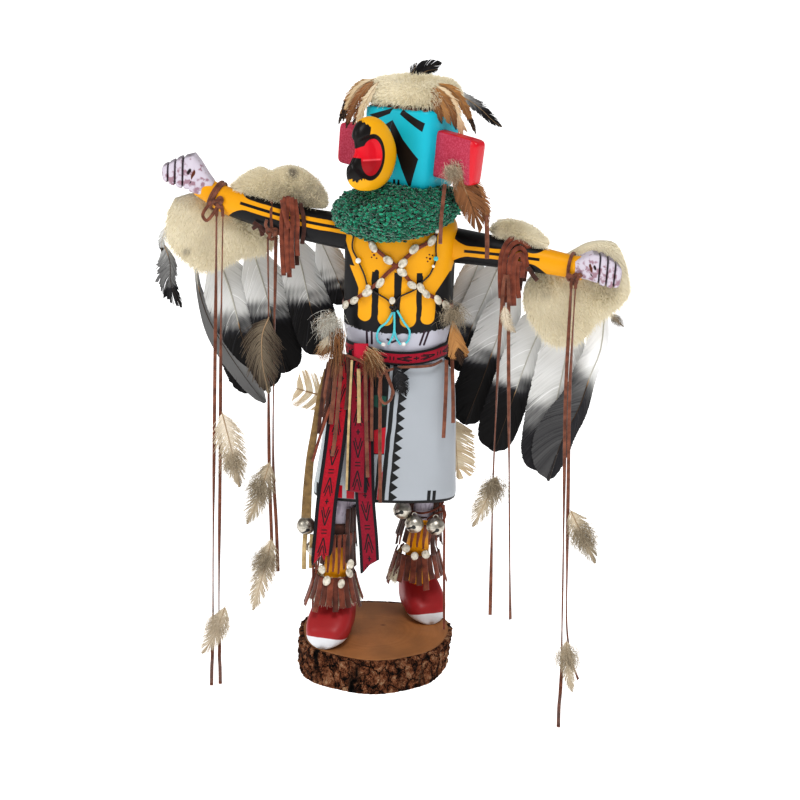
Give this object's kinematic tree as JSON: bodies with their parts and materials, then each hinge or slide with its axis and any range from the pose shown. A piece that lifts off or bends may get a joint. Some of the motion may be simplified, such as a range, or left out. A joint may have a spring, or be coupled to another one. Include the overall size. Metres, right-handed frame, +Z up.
{
  "type": "kachina doll",
  "caption": "Carved and painted dancing kachina doll with a beaked eagle mask, feather wings, fur, long suede laces and bells, standing on a slice of log.",
  "frame": {"origin": "a point near the middle of the wood slice's flat underside", "axes": "+Z up; the doll's chest faces -Y; the doll's own left hand points to +X"},
  "size_m": [0.4513, 0.2279, 0.5911],
  "materials": {
    "base_wood": "sawn top, bark on the side",
    "painted_wood": "satin paint on carved wood",
    "mask_paint": "satin turquoise paint",
    "beak_paint": "satin yellow, red and black paint",
    "ear_paint": "matte red paint, glossy at the end",
    "green_yarn": "nubbly wool yarn",
    "cream_fur": "long soft fur",
    "grey_fur": "long soft fur",
    "wing_feather": "natural feather, grey to black",
    "tan_feather": "natural feather and down",
    "dark_feather": "natural feather, near black",
    "suede": "brown suede",
    "lace_suede": "brown suede lace",
    "sash_cloth": "woven cloth, red and black",
    "bell_metal": "dull nickel",
    "shell": "polished shell",
    "bead": "turquoise stone",
    "cord_black": "waxed thread"
  },
  "bodies": {
    "root": {"wood_base": "base_wood", "carved_body": "painted_wood", "right_arm": "painted_wood", "left_arm": "painted_wood", "head": "mask_paint", "beak": "beak_paint", "right_ear": "ear_paint", "left_ear": "ear_paint", "head_fur": "cream_fur", "yarn_ruff": "green_yarn", "crown_feather": "dark_feather", "right_head_feathers": "tan_feather", "left_head_feathers": "tan_feather", "dark_head_feather": "dark_feather", "right_wing_fur": "cream_fur", "right_arm_fur": "grey_fur", "left_wing_fur": "cream_fur", "left_arm_fur": "grey_fur", "right_hand_feather": "dark_feather", "right_arm_fringe": "suede", "left_arm_fringe": "suede", "belt": "sash_cloth", "right_sash": "sash_cloth", "left_sash": "sash_cloth", "right_knee_cuff": "suede", "right_ankle_fringe": "suede", "left_knee_cuff": "suede", "left_ankle_fringe": "suede", "right_tail_feather": "tan_feather", "left_tail_feather": "tan_feather", "right_wing_feather_1": "wing_feather", "right_wing_feather_2": "wing_feather", "right_wing_feather_3": "wing_feather", "right_wing_feather_4": "wing_feather", "right_wing_feather_5": "wing_feather", "left_wing_feather_1": "wing_feather", "left_wing_feather_2": "wing_feather", "left_wing_feather_3": "wing_feather", "left_wing_feather_4": "wing_feather", "left_wing_feather_5": "wing_feather", "left_wing_feather_6": "wing_feather", "right_wrist_lace_1": "lace_suede", "right_wrist_lace_2": "lace_suede", "right_forearm_lace_1": "lace_suede", "right_forearm_lace_2": "lace_suede", "left_forearm_lace_1": "lace_suede", "left_forearm_lace_2": "lace_suede", "left_wrist_lace_1": "lace_suede", "left_wrist_lace_2": "lace_suede", "right_bell_1": "bell_metal", "right_bell_2": "bell_metal", "left_bell_1": "bell_metal", "left_bell_2": "bell_metal", "left_bell_3": "bell_metal"}
  },
  "joints": []
}
